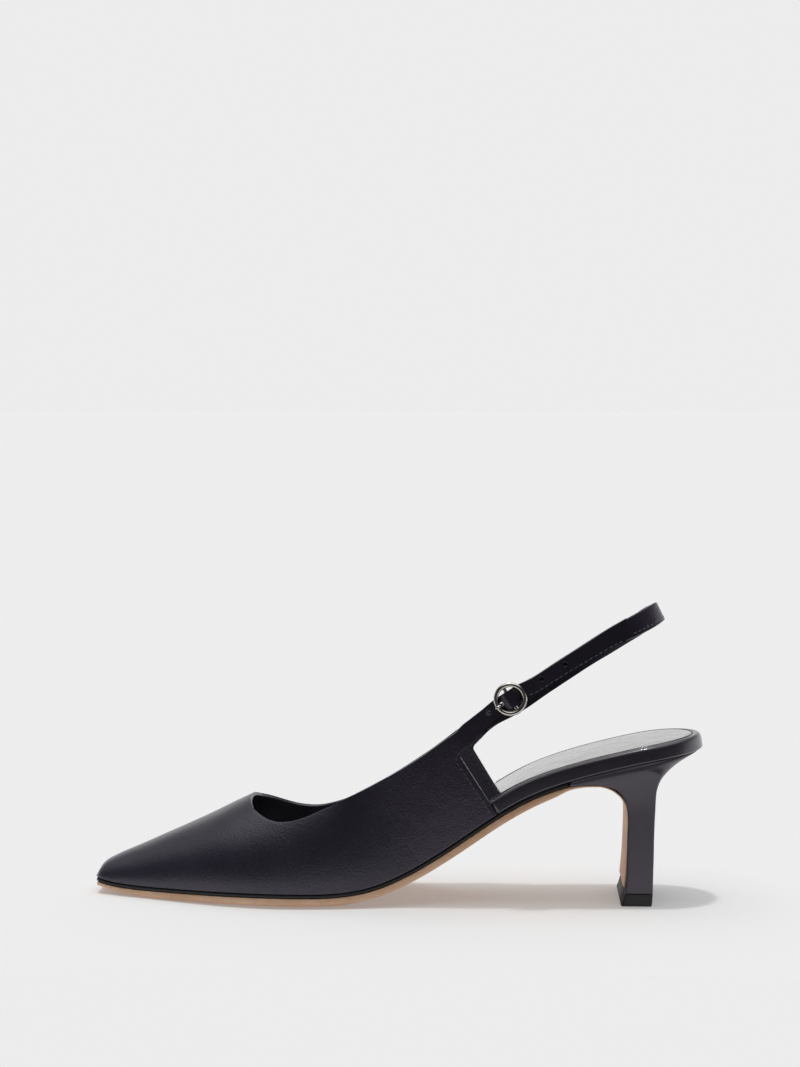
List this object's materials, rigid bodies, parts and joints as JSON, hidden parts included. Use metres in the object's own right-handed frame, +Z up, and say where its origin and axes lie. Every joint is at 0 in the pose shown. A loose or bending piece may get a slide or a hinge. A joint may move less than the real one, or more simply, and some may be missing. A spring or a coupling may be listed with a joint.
{
  "type": "slingback pump",
  "caption": "Left slingback pump with a snipped pointed toe, open sides, a buckled sling round the heel and a blade heel.",
  "frame": {"origin": "middle of the heel's ground face", "axes": "+Z up, toe towards -X, outer (buckle) side of the left shoe towards -Y"},
  "size_m": [0.2489, 0.0726, 0.1214],
  "materials": {
    "black_leather": "satin calf leather, black",
    "rim_leather": "black leather wrapped over the footbed",
    "sock_leather": "glossy black lining leather",
    "black_edge": "black painted edge",
    "tan_leather": "natural tan sole leather",
    "heel_cover": "satin black heel",
    "rubber": "matt black",
    "polished_metal": "polished silver colour"
  },
  "bodies": {
    "root": {"upper": "black_leather", "sling_strap": "black_leather", "insole": "rim_leather", "sock": "sock_leather", "midsole": "black_edge", "outsole": "tan_leather", "heel": "heel_cover", "top_piece": "rubber", "buckle_ring": "polished_metal", "buckle_prong": "polished_metal"}
  },
  "joints": []
}
